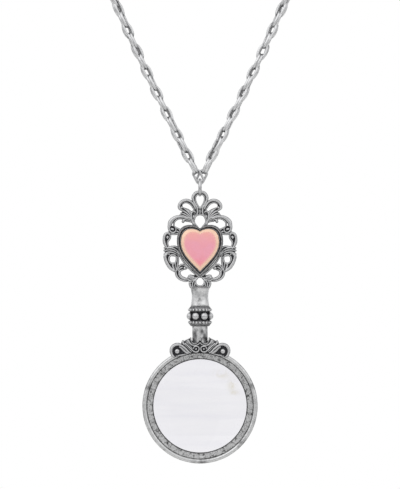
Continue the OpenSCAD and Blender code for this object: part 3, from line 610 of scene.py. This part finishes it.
def relief_solid(strokes, corner, across, down, trim, square=SQUARE, ground=0.0, wall=0.3, cell=0.115, hollow=0.18,
                 shade=0.18):
    """A solid from a drawing whose square has a size in mm and whose origin is corner (x, z). It covers u from -across
    to across and v between the two values of down. trim(x, z) is positive where metal may be, in mm. The faces stand
    ground + height from the plane, both ways, and the walls reach ground + wall. The recess is how far a place lies
    under the average round it, over hollow, plus shade."""
    def measure(u, v):
        high, inside = carve(np.abs(u), v, strokes)
        return high, np.minimum(inside, trim(corner[0] + u * square, corner[1] - v * square) / square)

    half = int(across * square / cell)
    u, v = np.meshgrid(np.arange(-half, half + 1) * cell / square, np.arange(*down, cell / square)[::-1], indexing="ij")
    high, inside = measure(u, v)
    kept = inside[:-1, :-1] + inside[1:, :-1] + inside[:-1, 1:] + inside[1:, 1:] > 0
    fill_corners(kept)
    padded = np.pad(kept, 1)
    cells_round = sum(part.astype(int) for part in (padded[1:, 1:], padded[:-1, 1:], padded[1:, :-1], padded[:-1, :-1]))
    used, edge = cells_round > 0, (cells_round > 0) & (cells_round < 4)
    dips = np.clip((blur(high * (inside > 0), int(round(0.5 / cell))) - high) / hollow + shade, 0, 1)
    dips = np.maximum(dips, OUTLINE_DARK * np.exp(-(np.maximum(inside, 0) / OUTLINE_REACH) ** 2))
    dips[edge] = WALL_ENDS_DARK
    u[edge], v[edge] = onto_outline(lambda u, v: measure(u, v)[1], u[edge], v[edge])
    rise = ground + np.where(edge, wall, np.maximum(high, wall))
    number = np.cumsum(used.ravel()).reshape(used.shape) - 1
    flat = np.stack([corner[0] + u[used] * square, corner[1] - v[used] * square], -1)
    count, middle = len(flat), number[edge]
    layers = [(flat, -rise[used]), (flat, rise[used]), (flat[middle], 0 * middle)]
    points = np.concatenate([np.stack([place[:, 0], PLANE + y, place[:, 1]], -1) for place, y in layers])
    halfway = np.zeros(count, int)
    halfway[middle] = 2 * count + np.arange(len(middle))
    i, j = np.nonzero(kept)
    loop = np.stack([number[i, j], number[i + 1, j], number[i + 1, j + 1], number[i, j + 1]], -1)
    quads = [loop, loop[:, ::-1] + count]
    for side, neighbour in enumerate((padded[1:-1, :-2], padded[2:, 1:-1], padded[1:-1, 2:], padded[:-2, 1:-1])):
        bare = ~neighbour[i, j]
        p, q = loop[bare, side], loop[bare, (side + 1) % 4]
        quads += [np.stack([q, p, halfway[p], halfway[q]], -1),
                  np.stack([halfway[q], halfway[p], p + count, q + count], -1)]
    depth = np.concatenate([dips[used], dips[used], np.full(len(middle), WALL_MIDDLE_DARK)])
    return points, np.vstack(quads), np.empty((0, 3), int), depth


# %% [markdown]
# ### The setting
# The setting is a low heart-shaped wall that holds the stone. Its top edge is milled: pressed with a fine wheel, which
# leaves a row of little teeth. Its section is carried round the heart, and the teeth are added to the edge's height.

# %% The heart's outline
HEART_W, HEART_H, SETTING_D = 17.2, 19.6, 3.6
HEART_TOP = FRAME_TOP - 35 * FRAME_H / DOWN
SET_FRONT, SET_BACK = -0.6 * SETTING_D, 0.4 * SETTING_D
POINT_SHARE = 1.56
WALL = 1.3


def heart_line(margin, steps):
    """The heart's outline, drawn in by a margin, turning left as seen from the front. Its right half is two cubic
    curves, from the cleft round the lobe and on to the point: s^3 a + 3 s^2 t b + 3 s t^2 c + t^3 d, with s = 1 - t."""
    w, h = HEART_W - 2 * margin, HEART_H - (1 + POINT_SHARE) * margin
    t = (np.arange(steps) / steps)[:, None]
    s = 1 - t
    lobe = [[0, -0.07], [0.1, 0.012], [0.5, 0.09], [0.5, -0.31]]
    flank = [[0.5, -0.31], [0.5, -0.59], [0.23, -0.79], [0, -1]]
    curves = np.array([lobe, flank]) * [w, h]
    right = np.vstack([s ** 3 * a + 3 * s * s * t * b + 3 * s * t * t * c + t ** 3 * d for a, b, c, d in curves]
                      + [[0, -h]])
    loop = np.vstack([right, right[-2:0:-1] * [-1, 1]])[::-1]
    return loop + [0, HEART_TOP - margin]


def heart_rings(profile, steps):
    """A heart-shaped skin: one outline for each (margin, depth) of the profile, from the back towards the front."""
    return np.stack([np.insert(heart_line(m, steps), 1, PLANE + y, axis=1) for m, y in profile])


# %% The setting
# margin from the outline, depth, share of the teeth, recess
BEZEL = np.array([
    (0, SET_BACK, 0, 0.1), (-0.05, 0.9, 0, 0.4), (-0.2, 0.2, 0, 0.7), (-0.24, -0.9, 0, 0.5), (-0.16, -1.05, 0, 0.3),
    (-0.02, -1.1, 0, 0.4), (0.03, -1.2, 0, 0.8), (0.05, -1.7, 0, 0.75), (0.13, -1.98, 0.5, 0.5), (0.3, -2.14, 1, 0.34),
    (0.48, -2.1, 1, 0.42), (0.6, -1.84, 0.3, 0.6), (0.74, -1.66, 0, 0.74), (0.9, -1.64, 0, 0.7), (1.02, -1.86, 0, 0.45),
    (1.14, -2.0, 0, 0.35), (WALL, -1.98, 0, 0.6), (WALL + 0.04, -1.6, 0, 1), (WALL + 0.04, 0.64, 0, 1)])
TOP_EDGE = 9
TOOTH, TOOTH_HIGH, TOOTH_DARK = 0.5, 0.07, 0.3
rings = heart_rings(BEZEL[:, :2], 120)
length = np.append(0, np.cumsum(np.linalg.norm(np.diff(rings[TOP_EDGE], axis=0), axis=1)))
teeth = BEZEL[:, 2:3] * np.cos(2 * np.pi * length / (length[-1] / round(length[-1] / TOOTH)))
rings[..., 1] -= TOOTH_HIGH * teeth
setting = skin(rings, recess=np.clip(BEZEL[:, 3:4] - TOOTH_DARK * teeth, 0, 1))
print("setting", HEART_W, "x", HEART_H, "mm, edge", round(length[-1], 1), "mm")

# %% The frame's casting
FOOT = FRAME_TOP - FRAME_H
outline = heart_line(0, 40)


def beside_setting(x, z):
    """How far a place lies outside a line half a millimetre inside the heart, and above the foot's underside. The
    distance to the heart is that to the nearest point of its outline, and is negative inside it."""
    shape = x.shape
    x, z = x.ravel(), z.ravel()
    gap = np.full(len(x), 9.0)
    near = (np.abs(x) < 12) & (np.abs(z - HEART_TOP + 10) < 14)
    step = outline - np.roll(outline, 1, 0)
    from_point = np.stack([x[near], z[near]], -1)[:, None] - outline
    nearest = (from_point ** 2).sum(-1).argmin(1)
    side = from_point[np.arange(len(nearest)), nearest]
    across = step[nearest] + step[(nearest + 1) % len(outline)]
    gap[near] = (across[:, 1] * side[:, 0] - across[:, 0] * side[:, 1]) / np.hypot(across[:, 0], across[:, 1])
    return np.minimum(gap + 0.5, z - FOOT).reshape(shape)


def upright(r, a, z):
    """Points at radius r, angle a and height z round the pendant's upright axis."""
    return np.stack(np.broadcast_arrays(r * np.cos(a), PLANE + r * np.sin(a), z), -1)


def turned(profile, sides=48, recess=0.0):
    """A round part on the pendant's upright axis, from (radius, height) pairs that go upwards."""
    r, z = np.array(profile, float).T[..., None]
    return skin(upright(r, turns(sides), z), recess=recess)


openwork = relief_solid(FRAME_STROKES, (0.0, FRAME_TOP), 37.5, (-0.5, 99.0), beside_setting)
foot = turned([(3.5, FOOT), (3.5, FOOT + 0.12), (3.1, FOOT + 0.4), (2.5, FOOT + 0.78)], recess=0.3)
casting = together([openwork, setting, foot])
piece(mesh_of("heart_casting", casting), "pendant", "antique_silver", antique_silver, "heart_frame")

# %% [markdown]
# ## Heart stone
# The stone is a pink foiled glass heart with a flat table and a bevel of facets. Its colour changes with the place:
# pink with lilac clouds, peach towards the lobes, redder towards the point, and a painted highlight in cream where the
# bevel catches the light. The same colour also glows faintly, which is painted light.
# The facets are flat, so this piece isn't smooth-shaded.

# %% The stone's shape
STONE_MARGIN = WALL + 0.05
BEVEL_W, STONE_RISE = 1.1, 0.7
table = [(STONE_MARGIN + BEVEL_W + m, SET_FRONT - STONE_RISE) for m in (0, 0.5, 1.2, 2.2, 3.4, 4.6)]
profile = [(STONE_MARGIN, 0.59), (STONE_MARGIN, SET_FRONT + 0.15), *table]
inwards = np.array([0, 0, 0.5, 0.62, 0.74, 0.86, 0.96, 1.0])[:, None]
stone_mesh = mesh_of("stone", skin(heart_rings(profile, 7), recess=inwards))
stone_mesh.shade_flat()
print("table", round(HEART_W - 2 * table[0][0], 2), "mm wide")

# %% The stone's colours
PINK, RED, PEACH = (0.87, 0.35, 0.42, 1), (0.88, 0.24, 0.30, 1), (0.92, 0.41, 0.38, 1)
LILAC, BEVEL_HIGHLIGHT = (0.83, 0.38, 0.52, 1), (0.93, 0.62, 0.44, 1)
TO_STONE_MIDDLE = (0, 0.13, 0.2315)
# The emission is painted light: the stone glows faintly in its own colour, though it is no lamp.
pink_stone, tree, shader = material("pink_stone", {"Emission Strength": 0.2, "Roughness": 0.28, "Coat Weight": 1.0,
                                                   "Coat Roughness": 0.05, "IOR": 1.55})
spot = put(tree, "TexCoord").outputs["Object"]
local = put(tree, "Mapping", {0: spot, 1: TO_STONE_MIDDLE})
up = put(tree, "SeparateXYZ", {0: local.outputs[0]}).outputs[2]
inward = put(tree, "Attribute", attribute_name="recess").outputs["Fac"]
veil = noise(tree, spot, 330.0, 4.0, 0.6).outputs[0]
lower = between(tree, fade(tree, up, -0.001, -0.008), PINK, RED)
upper = between(tree, fade(tree, up, 0.001, 0.007), lower, PEACH)
clouded = between(tree, fade(tree, veil, 0.42, 0.68, 0.0, 0.3, "LINEAR"), upper, LILAC)
# Painted highlight: the bevel is cream where it catches the light, fading out over the table's edge.
stone_colour = between(tree, fade(tree, inward, 0.3, 0.7, 1.0, 0.0), clouded, BEVEL_HIGHLIGHT)
# The colour also feeds the emission, which is painted light.
for title in ("Base Color", "Emission Color"):
    tree.links.new(stone_colour, shader.inputs[title])
piece(stone_mesh, "pendant", "pink_stone", pink_stone, "heart_stone")

# %% [markdown]
# ## Handle and collar
# The handle is turned: a waisted column over a plain neck. Its surface is softly beaten, so the radius gets a small sum
# of rounded dents. The collar is a sleeve with grooves, a row of eight large beads, and a row of small beads above and
# below. Fine hammer marks and a few smudges of leftover black finish the column.


# %% Dents
def dents(u, v, count, size, seed, period):
    """A sum of round hollows, exp(-(distance / size)^2) each, over u and v. u runs round and meets itself after a
    period."""
    rng = np.random.default_rng(seed)
    cu = rng.uniform(0, period, count)
    cv = rng.uniform(v.min(), v.max(), count)
    deep = rng.uniform(0.35, 1, count)
    wide = size * rng.uniform(0.6, 1.4, count)
    du = (u[..., None] - cu + period / 2) % period - period / 2
    return (deep * np.exp(-(du ** 2 + (v[..., None] - cv) ** 2) / wide ** 2)).sum(-1)


# %% The handle
SEAT_GAP = 0.05
COLUMN_TOP, COLUMN_L, COLUMN_R, WAIST_R = FOOT - SEAT_GAP, 6.7, 3.55, 3.15
COLLAR_TOP, COLLAR_L, COLLAR_R = COLUMN_TOP - COLUMN_L - SEAT_GAP, 7.7, 4.05
COLLAR_LOW = COLLAR_TOP - COLLAR_L
NECK_R, NECK_L, CREST_H = 2.9, 3.9, 4.5
CREST_TOP = COLLAR_LOW - NECK_L
NECK_LOW = CREST_TOP - 0.75 * CREST_H + SEAT_GAP
DENT_DEEP, DENT_DARK, NECK_DARK = 0.055, 0.16, 0.3
# place round the handle, height above the column's top, half width, half height, depth of colour
SMUDGES = [(-1.45, -4.4, 1.1, 0.9, 0.45), (-1.9, -6.0, 0.9, 1.0, 0.25), (-1.3, -16.6, 1.2, 0.8, 0.3)]

up = np.linspace(-1, 1, 30)
column = np.stack([WAIST_R + (COLUMN_R - WAIST_R) * up ** 2, COLUMN_TOP - COLUMN_L / 2 + up * COLUMN_L / 2], -1)
column[[0, -1], 0] -= [0.1, 0.06]
neck = np.stack([np.full(40, NECK_R), np.linspace(NECK_LOW, COLUMN_TOP - COLUMN_L, 40)], -1)
radius, height = np.vstack([neck, column]).T[..., None]
a = turns(96)
beaten = dents(*np.meshgrid(a * WAIST_R, height), count=190, size=0.8, seed=3, period=2 * np.pi * WAIST_R)
dark = DENT_DARK * beaten + NECK_DARK * (height < COLLAR_LOW + 0.5)
for angle, z, wide, tall, deep in SMUDGES:
    aside = WAIST_R * ((a - angle + np.pi) % (2 * np.pi) - np.pi)
    dark = dark + deep * np.exp(-(aside / wide) ** 2 - ((height - COLUMN_TOP - z) / tall) ** 2)
handle = skin(upright(radius + 0.06 - DENT_DEEP * beaten, a, height), recess=np.clip(dark, 0, 0.85))
handle_mesh = mesh_of("column_and_neck", handle)
note(handle_mesh, "struck", np.ones(len(handle[0])))
piece(handle_mesh, "pendant", "worn_silver", worn_silver, "handle")

# %% The collar
MID = (COLLAR_TOP + COLLAR_LOW) / 2
BEAD_R, PEARL_R, PEARL_Z = 1.45, 0.55, 0.31 * COLLAR_L
BEADS, PEARLS = 8, 20
sleeve = np.array([
    (NECK_R + 0.1, -3.85), (COLUMN_R - 0.1, -3.85), (COLUMN_R, -3.75), (COLLAR_R, -3.16), (COLLAR_R, -2.1), (3.7, -1.3),
    (3.7, 1.3), (COLLAR_R, 2.1), (COLLAR_R, 3.16), (COLUMN_R, 3.75), (COLUMN_R - 0.1, 3.85), (NECK_R + 0.1, 3.85)])
share = np.arange(5)[:, None] / 5
r, z = (sleeve[:, None] * (1 - share) + np.roll(sleeve, -1, 0)[:, None] * share).reshape(-1, 2).T
dark = np.where(np.abs(z) < 3.4, 0.72 * np.clip((4.35 - r) / 0.55, 0, 1), 0.45)
tube = upright(r, turns(120)[:, None], MID + z)
shells = [skin(tube[:, ::-1], joined=True, recess=dark[::-1])]


def bead(angle, reach, height, radius, rows, sides):
    """A small ball on the collar: rings of latitude b, each radius (cos a cos b, sin a cos b, sin b). Its recess is 0
    where it stands furthest out and 1 at its root."""
    a, b = turns(sides), np.radians(np.linspace(-86, 86, rows))[:, None]
    way = np.stack([np.cos(a) * np.cos(b), np.sin(a) * np.cos(b), np.sin(b) + 0 * a], -1)
    out = np.abs(way[..., :2] @ [math.cos(angle), math.sin(angle)])
    return skin(upright(reach, angle, height) + radius * way, recess=np.clip(0.95 - 1.25 * out, 0, 1) ** 1.2)


shells += [bead(place, COLLAR_R - 0.1, MID, BEAD_R, 18, 26) for place in turns(BEADS) + np.pi / BEADS - np.pi / 2]
shells += [bead(place, COLLAR_R, MID + side * PEARL_Z, PEARL_R, 9, 14) for place in turns(PEARLS) for side in (-1, 1)]
piece(mesh_of("beaded_collar", together(shells)), "pendant", "antique_silver", antique_silver, "collar")

# %% [markdown]
# ## Crest
# The crest sits astride the rim. It is cast too: waves, scrolls and leaves raised on both faces of a plate. It is drawn
# in strokes like the frame, on squares of which 60 make its width, across from its middle and down from the rim's top.
# Two cuts then make room for the rim and for the neck, and a short sleeve stands round the neck.

# %% The crest's drawing
CREST_W, CREST_D = 23.0, 6.2
CREST_SQUARE = CREST_W / 60
RIM_R, BAND_W, RIM_D = 22.0, 1.7, 4.2
RIM_Z = CREST_TOP - CREST_H - RIM_R
RIM_TOP = RIM_Z + RIM_R
DIP_U, DIP_V, DIP_R = 4.9, -8.9, 3.7
CREST_STROKES = [
    # ground of the plate
    (0.3, WEB, [0, -0.5, 13, 6, -1, 12, 12, -1.2, 10, 17, 0.6, 9, 22, 2.2, 10.6, 24.6, 3, 9.4, 24.4, 4.6, 8.4]),
    (0.3, WEB, [9.4, -8.2, 3.8, 12, -6, 5.6, 15.2, -4.9, 4.8, 16.8, -5.4, 3.8]), (0.3, WEB, [0, -7, 3, 0.4, -9.6, 1.8]),
    # the wave and its outer line
    (0.9, ROUND, [0, -9.4, 1.5, 0.9, -8, 1.6, 2.3, -6.2, 1.7, 4.6, -4.8, 1.8, 6.8, -5.1, 1.8, 8.3, -7, 1.8, 9.2, -9.8,
                  1.8]),
    (0.7, ROUND, [0, -5.6, 1.3, 2.2, -3.7, 1.4, 5, -3, 1.5, 8, -3.5, 1.8, 10.3, -5.4, 2.2, 11.6, -7.4, 2.6]),
    # bead and the line that winds round it and runs on as a leaf
    (1, ROUND, [3.8, 0.6, 2.2, 3.9, 0.7, 2.2]),
    (0.8, ROUND, [6.4, 0.4, 1.3, 5.8, -1.5, 1.4, 3.6, -2.1, 1.5, 1.4, -1.2, 1.5, 0.9, 1.2, 1.6, 2.4, 3.3, 1.7, 5, 3.5,
                  1.7,
                  7.4, 2, 1.7, 10, -0.5, 1.8, 12.4, -2.8, 1.8, 14.6, -4.8, 1.9]),
    # leaves between the wave and the volute
    (0.66, LEAF, [7.6, 0.2, 1.4, 9.4, -1.8, 1.7, 11.6, -4.4, 2, 13, -6.2, 2]),
    (0.7, LEAF, [8.6, 3, 1.5, 11.2, 0.6, 1.8, 14.2, -2.4, 2.1, 16.6, -4.9, 2.6, 17, -6.8, 2.2]),
    # volute
    (0.9, ROUND, [9.2, 4.6, 1.6, 11.6, 3.2, 2, 14.2, 0.4, 2.2, 17.6, -2.3, 2.5, 21.4, -3.8, 2.8, 25.2, -3.1, 3.1,
                  27.9, -0.6, 3.2,
                  28.7, 2.8, 3, 27.8, 6.2, 2.6, 25.6, 8.6, 1.8]),
    (0.7, ROUND, [11.6, 5, 1.8, 14.2, 3.4, 2.8, 16.4, 1.2, 3.4, 18.2, -0.4, 2.8, 20.4, -1.4, 1.6]),
    (0.6, ROUND, [21.4, 7.2, 1.6, 18, 6.6, 1.8, 14.5, 6, 1.8, 11, 5.6, 1.8]),
    (1.15, ROUND, [22.7, 2.8, 5.2, 22.8, 3, 5.2])]
print(len(CREST_STROKES), "strokes in half of the crest")


# %% Round shapes on the rim's axis, and the crest's openings
def facing(r, a, y):
    """Points at radius r and angle a round the rim's own axis, y behind its middle plane."""
    return np.stack(np.broadcast_arrays(r * np.cos(a), PLANE + y, RIM_Z + r * np.sin(a)), -1)


def beside_openings(x, z):
    """How far a place lies outside the lens's opening and outside the two dips beside the neck. A dip is a circle whose
    sides go on straight up."""
    u, v = np.abs(x) / CREST_SQUARE, (RIM_TOP - z) / CREST_SQUARE
    dip = (np.hypot(u - DIP_U, np.maximum(v - DIP_V, 0)) - DIP_R) * CREST_SQUARE
    return np.minimum(np.hypot(x, z - RIM_Z) - (RIM_R - BAND_W), dip)


# %% Cutting with exact Booleans
def cut_away(name, shell, cutters, more):
    """Takes the cutters out of a solid, in millimetres, and adds one more shell. Returns the mesh in metres, with its
    depths in the attribute recess."""
    helpers = []
    for part in (shell, *cutters):
        helpers.append(bpy.data.objects.new("cutter", mesh_of("cutter", part, 1.0)))
        scene.collection.objects.link(helpers[-1])
    for i, tool in enumerate(helpers[1:]):
        cut = helpers[0].modifiers.new("cut" + str(i), "BOOLEAN")
        cut.operation, cut.object, cut.solver = "DIFFERENCE", tool, "EXACT"
    done = bpy.data.meshes.new_from_object(helpers[0].evaluated_get(bpy.context.evaluated_depsgraph_get()))
    start = len(done.vertices)
    points, depth = np.zeros(start * 3), np.zeros(start)
    done.vertices.foreach_get("co", points)
    done.attributes["recess"].data.foreach_get("value", depth)
    faces = [list(f.vertices) for f in done.polygons] + (more[1] + start).tolist() + (more[2] + start).tolist()
    for helper in helpers:
        bpy.data.objects.remove(helper)
    return mesh_from(name, np.vstack([points.reshape(-1, 3), more[0]]) * MM, faces, np.append(depth, more[3]))


# %% The crest's casting
SLEEVE_TOP = -7.4
BORE_R = NECK_R + 0.1
plate = relief_solid(CREST_STROKES, (0.0, RIM_TOP), 31.0, (-13.0, 14.0), beside_openings, CREST_SQUARE,
                     ground=CREST_D / 2 - 0.25, wall=0.05, cell=0.1, hollow=0.2, shade=0.42)
slot = skin(facing(RIM_R + 0.1, turns(200), (RIM_D + 0.2) * np.array([[0.5], [-0.5]])))
bore = turned([(BORE_R, NECK_LOW - SEAT_GAP), (BORE_R, CREST_TOP + 9)])
a = turns(72)[:, None]
out = BORE_R + np.array([0, 0.4, 0.4, 0])
from_dip = np.abs((NECK_R + 0.4) * np.cos(a)) / CREST_SQUARE - DIP_U
under_dip = DIP_V + np.sqrt(np.maximum(DIP_R ** 2 - from_dip ** 2, 0)) + 0.6
sleeve_top = -np.maximum(np.where(np.abs(from_dip) < DIP_R, under_dip, SLEEVE_TOP), SLEEVE_TOP) * CREST_SQUARE
rise = np.where(np.arange(4) < 2, -BAND_W, sleeve_top)
socket = skin(upright(out, a, RIM_TOP + rise)[:, ::-1], joined=True, recess=0.75)
crest_mesh = cut_away("crest_casting", plate, [slot, bore], socket)
piece(crest_mesh, "pendant", "antique_silver", antique_silver, "crest")

# %% [markdown]
# ## Rim and lens
# The rim is a turned ring: a smooth rounded outer band, a fine groove, and a flat band beaten all over with a small
# hammer. Its section is carried once round, and the dents are added to the depth of the flat band. The lens is a thick
# clear glass, domed on both sides, held in a slot of the rim. It is the plainest piece, but it has to be clear: only
# faint streaks and three spots of a painted reflection are added to its tint.


# %% The rim
def ring_section():
    """Front half of the section, from the outside to the lens: (radius, depth, share of the dents, recess)."""
    p = np.radians(np.linspace(0, 146, 12))
    dark = 0.04 + 0.45 * np.maximum(np.cos(p), 0) ** 3
    band = np.stack([21.15 + 0.85 * np.cos(p), -1.25 - 0.85 * np.sin(p), np.full(12, 0.3), dark], -1)
    groove = [(20.36, -1.6, 0.3, 0.75), (20.25, -1.5, 0.3, 0.95), (20.12, -1.6, 0.3, 0.6)]
    r = np.linspace(20.0, 18.3, 10)
    flat = np.stack([r, -1.512 - (r - 18.1) * 0.0826, np.full(10, 1.0), np.full(10, 0.12)], -1)
    lip = [(18.15, -1.5, 0.4, 0.7), (17.97, -1.42, 0.2, 1), (17.8, -1.25, 0, 1), (17.8, -1.02, 0, 1),
           (18.75, -0.86, 0, 1), (18.75, -0.3, 0, 1)]
    return np.vstack([[(RIM_R, -0.4, 0.2, 0.5), (RIM_R, -0.85, 0.2, 0.5)], band, groove, flat, lip])


FLAT_R = 19.6
BEAT_DEEP, BEAT_DARK, PLACE_DARK = 0.035, 0.07, 0.4
# dark places on the outer band: angle from the right, half width, in degrees
DARK_PLACES = [(21.7, 7), (-41, 6), (-88, 7), (160, 5)]

front_half = ring_section()
r, y, share, dark = np.vstack([front_half * [1, -1, -1, 1], front_half[::-1]]).T
a = turns(540)[:, None]
beaten = dents(*np.broadcast_arrays(a * FLAT_R, r), count=1100, size=0.42, seed=11, period=2 * np.pi * FLAT_R)
dark = dark + BEAT_DARK * beaten * (np.abs(share) > 0.5)
for place, width in DARK_PLACES:
    away = (np.degrees(a) - place + 180) % 360 - 180
    dark = dark + PLACE_DARK * np.exp(-(away / width) ** 2) * (r > 20.4)
rings = facing(r, a, y + share * BEAT_DEEP * beaten)
rim_mesh = mesh_of("hammered_rim", skin(rings, joined=True, recess=np.clip(dark, 0, 1)))
note(rim_mesh, "struck", np.broadcast_to(np.clip(np.abs(share) * 1.3 - 0.3, 0, 1), rings.shape[:2]))
piece(rim_mesh, "pendant", "hammered_silver", hammered_silver, "rim")

# %% The lens's shape
LENS_R, LENS_EDGE, LENS_MID = 18.7, 1.6, 5.0
# Painted reflection: three faint brownish spots on the lens's front face.
# place from the lens's middle, half width, half height, strength
REFLECTION_SPOTS = [(8.3, 11.9, 2.6, 1.4, 0.8), (12.1, 8.1, 1.3, 1.8, 1.3), (13.1, 5.0, 1.5, 0.8, 1.1)]

dome = (LENS_MID - LENS_EDGE) / 2
sphere_r = (LENS_R ** 2 + dome ** 2) / (2 * dome)
r = LENS_R * np.sin(np.radians(np.linspace(0.5, 90, 26)))
half_thick = LENS_MID / 2 - sphere_r + np.sqrt(sphere_r ** 2 - r ** 2)
rings = facing(np.append(r, r[::-1])[:, None], turns(128), np.append(half_thick, -half_thick[::-1])[:, None])
marks = np.zeros(rings.shape[:2])
for x, z, wide, tall, deep in REFLECTION_SPOTS:
    marks += deep * np.exp(-((rings[..., 0] - x) / wide) ** 2 - ((rings[..., 2] - RIM_Z - z) / tall) ** 2)
# Only the front face carries the painted reflection.
lens_shell = skin(rings, recess=np.minimum(marks, 1) * (rings[..., 1] < PLANE))
print("lens domed to a sphere of", round(sphere_r, 1), "mm")

# %% The lens's glass
CLEAR, STREAK, REFLECTED_TINT = (0.885, 0.875, 0.895, 1), (0.845, 0.835, 0.87, 1), (0.68, 0.63, 0.50, 1)
lens_glass, tree, shader = material("lens_glass", {"Roughness": 0.0, "IOR": 1.5, "Transmission Weight": 1.0})
spot = put(tree, "TexCoord").outputs["Object"]
reflection_noise = noise(tree, spot, 420.0, 3.0, 0.8).outputs[0]
reflection_place = put(tree, "Attribute", attribute_name="recess").outputs["Fac"]
mark = maths(tree, "MULTIPLY", reflection_place, fade(tree, reflection_noise, 0.32, 0.55, kind="LINEAR"))
stretched = put(tree, "Mapping", {0: spot, 3: (25, 1, 300)})
streaks = noise(tree, stretched.outputs[0], 1.0, 2.0).outputs[0]
streaked = between(tree, fade(tree, streaks, 0.42, 0.68, kind="LINEAR"), CLEAR, STREAK)
# The painted reflection's tint is mixed into the glass's colour.
tree.links.new(between(tree, mark, streaked, REFLECTED_TINT), shader.inputs["Base Color"])
piece(mesh_of("lens_glass", lens_shell), "pendant", "lens_glass", lens_glass, "lens")
